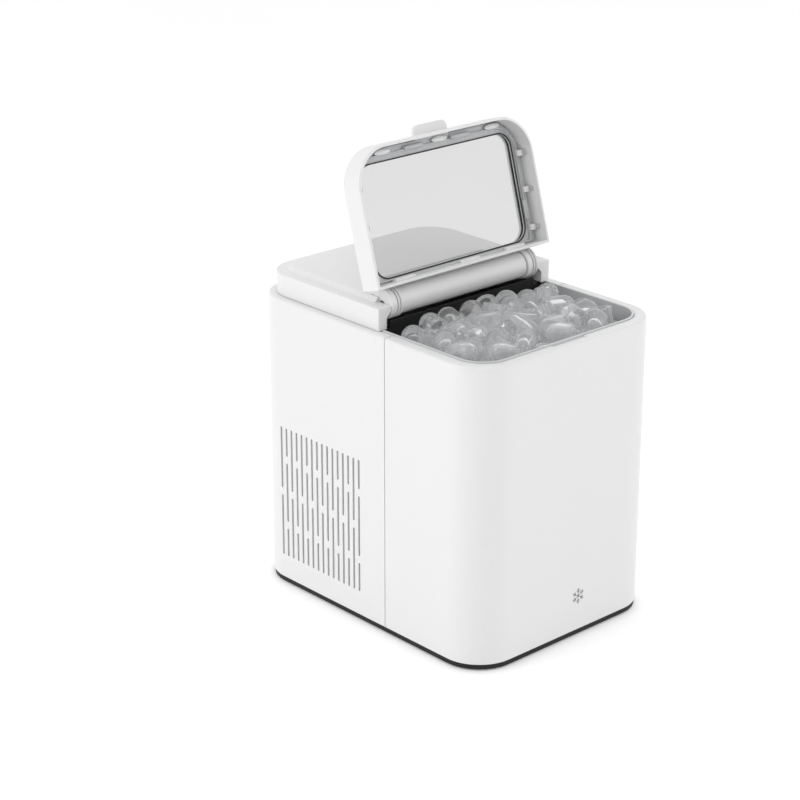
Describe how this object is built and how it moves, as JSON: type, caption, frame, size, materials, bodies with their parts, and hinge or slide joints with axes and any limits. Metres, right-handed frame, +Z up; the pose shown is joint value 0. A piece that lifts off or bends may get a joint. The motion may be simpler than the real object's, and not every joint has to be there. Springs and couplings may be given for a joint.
{
  "type": "ice maker",
  "caption": "Countertop ice maker with a slotted casing, a hinged window lid standing open above a lift-out ice basket, and its cooling and water parts inside.",
  "frame": {"origin": "middle of the footprint, on the surface the feet stand on", "axes": "+X to the right as seen from the front, +Y to the back where the hinge and grille are, +Z up"},
  "size_m": [0.222, 0.296, 0.4336],
  "materials": {
    "white_abs": "satin white ABS",
    "light_grey_plastic": "light grey polypropylene, satin",
    "black_plastic": "black plastic, fine texture",
    "grey_rubber": "dark rubber",
    "clear_plastic": "clear moulded plastic",
    "steel": "zinc-plated steel",
    "copper": "bright copper tube",
    "aluminium": "plain aluminium",
    "white_foam": "moulded foam",
    "black_enamel": "black enamelled steel",
    "green_board": "circuit board laminate",
    "silicone": "translucent silicone hose"
  },
  "bodies": {
    "casing": {"base_tray": "black_plastic", "foot_front_left": "grey_rubber", "foot_front_right": "grey_rubber", "foot_rear_left": "grey_rubber", "foot_rear_right": "grey_rubber", "front_shell": "white_abs", "rear_shell": "white_abs", "back_screw_left": "steel", "back_screw_right": "steel", "bin_liner": "light_grey_plastic", "bin_insulation": "white_foam", "rear_cover": "white_abs", "hinge_shaft": "steel", "control_panel": "light_grey_plastic", "control_board": "green_board", "ice_housing": "black_plastic", "ice_sensor_left": "black_plastic", "ice_sensor_right": "black_plastic", "shovel_bracket_left": "black_plastic", "shovel_bracket_right": "black_plastic", "tray_motor": "black_plastic", "tray_bearing": "black_plastic", "evaporator": "aluminium", "evaporator_tube": "copper", "water_pump": "black_plastic", "pump_hose": "silicone", "compressor": "black_enamel", "compressor_plate": "steel", "grommet_front_left": "grey_rubber", "grommet_front_right": "grey_rubber", "grommet_rear_left": "grey_rubber", "grommet_rear_right": "grey_rubber", "condenser": "aluminium", "condenser_tube": "copper", "fan_shroud": "black_plastic", "fan_motor": "black_plastic", "filter_drier": "copper", "discharge_line": "copper", "suction_line": "copper", "drain_hose": "silicone", "drain_fitting": "light_grey_plastic", "board_bracket": "steel", "main_board": "green_board", "power_inlet": "black_plastic"},
    "lid": {"lid_frame": "white_abs", "lid_seal": "grey_rubber", "lid_window": "clear_plastic", "window_frame": "light_grey_plastic"},
    "basket": {"ice_basket": "light_grey_plastic"},
    "tray": {"water_tray": "light_grey_plastic"},
    "shovel": {"ice_shovel": "light_grey_plastic"},
    "fan": {"fan_rotor": "black_plastic"},
    "power_button": {"power_button": "light_grey_plastic"},
    "select_button": {"select_button": "light_grey_plastic"},
    "plug": {"drain_plug": "grey_rubber"}
  },
  "joints": [
    {"name": "lid_hinge", "type": "hinge", "parent": "casing", "child": "lid", "pos_m": [0, -0.003, 0.2965], "axis": [-1, 0, 0], "range_deg": [-106, 0]},
    {"name": "basket_lift", "type": "slide", "parent": "casing", "child": "basket", "axis": [0, 0, 1], "range_m": [0, 0.19]},
    {"name": "tray_tilt", "type": "hinge", "parent": "casing", "child": "tray", "pos_m": [0, 0.034, 0.236], "axis": [1, 0, 0], "range_deg": [0, 60]},
    {"name": "shovel_swing", "type": "hinge", "parent": "casing", "child": "shovel", "pos_m": [0, 0, 0.262], "axis": [-1, 0, 0], "range_deg": [0, 24]},
    {"name": "fan_spin", "type": "hinge", "parent": "casing", "child": "fan", "pos_m": [-0.0857, 0.06, 0.092], "axis": [1, 0, 0], "continuous": true},
    {"name": "power_press", "type": "slide", "parent": "casing", "child": "power_button", "axis": [0, 0, -1], "range_m": [0, 0.001], "stiffness_N_per_m": 1500, "springref_m": -0.0005},
    {"name": "select_press", "type": "slide", "parent": "casing", "child": "select_button", "axis": [0, 0, -1], "range_m": [0, 0.001], "stiffness_N_per_m": 1500, "springref_m": -0.0005},
    {"name": "plug_pull", "type": "slide", "parent": "casing", "child": "plug", "axis": [0, 1, 0], "range_m": [0, 0.025]}
  ],
  "couplings": [
    {"joint": "shovel_swing", "follows": "tray_tilt", "ratio": 0.4}
  ]
}
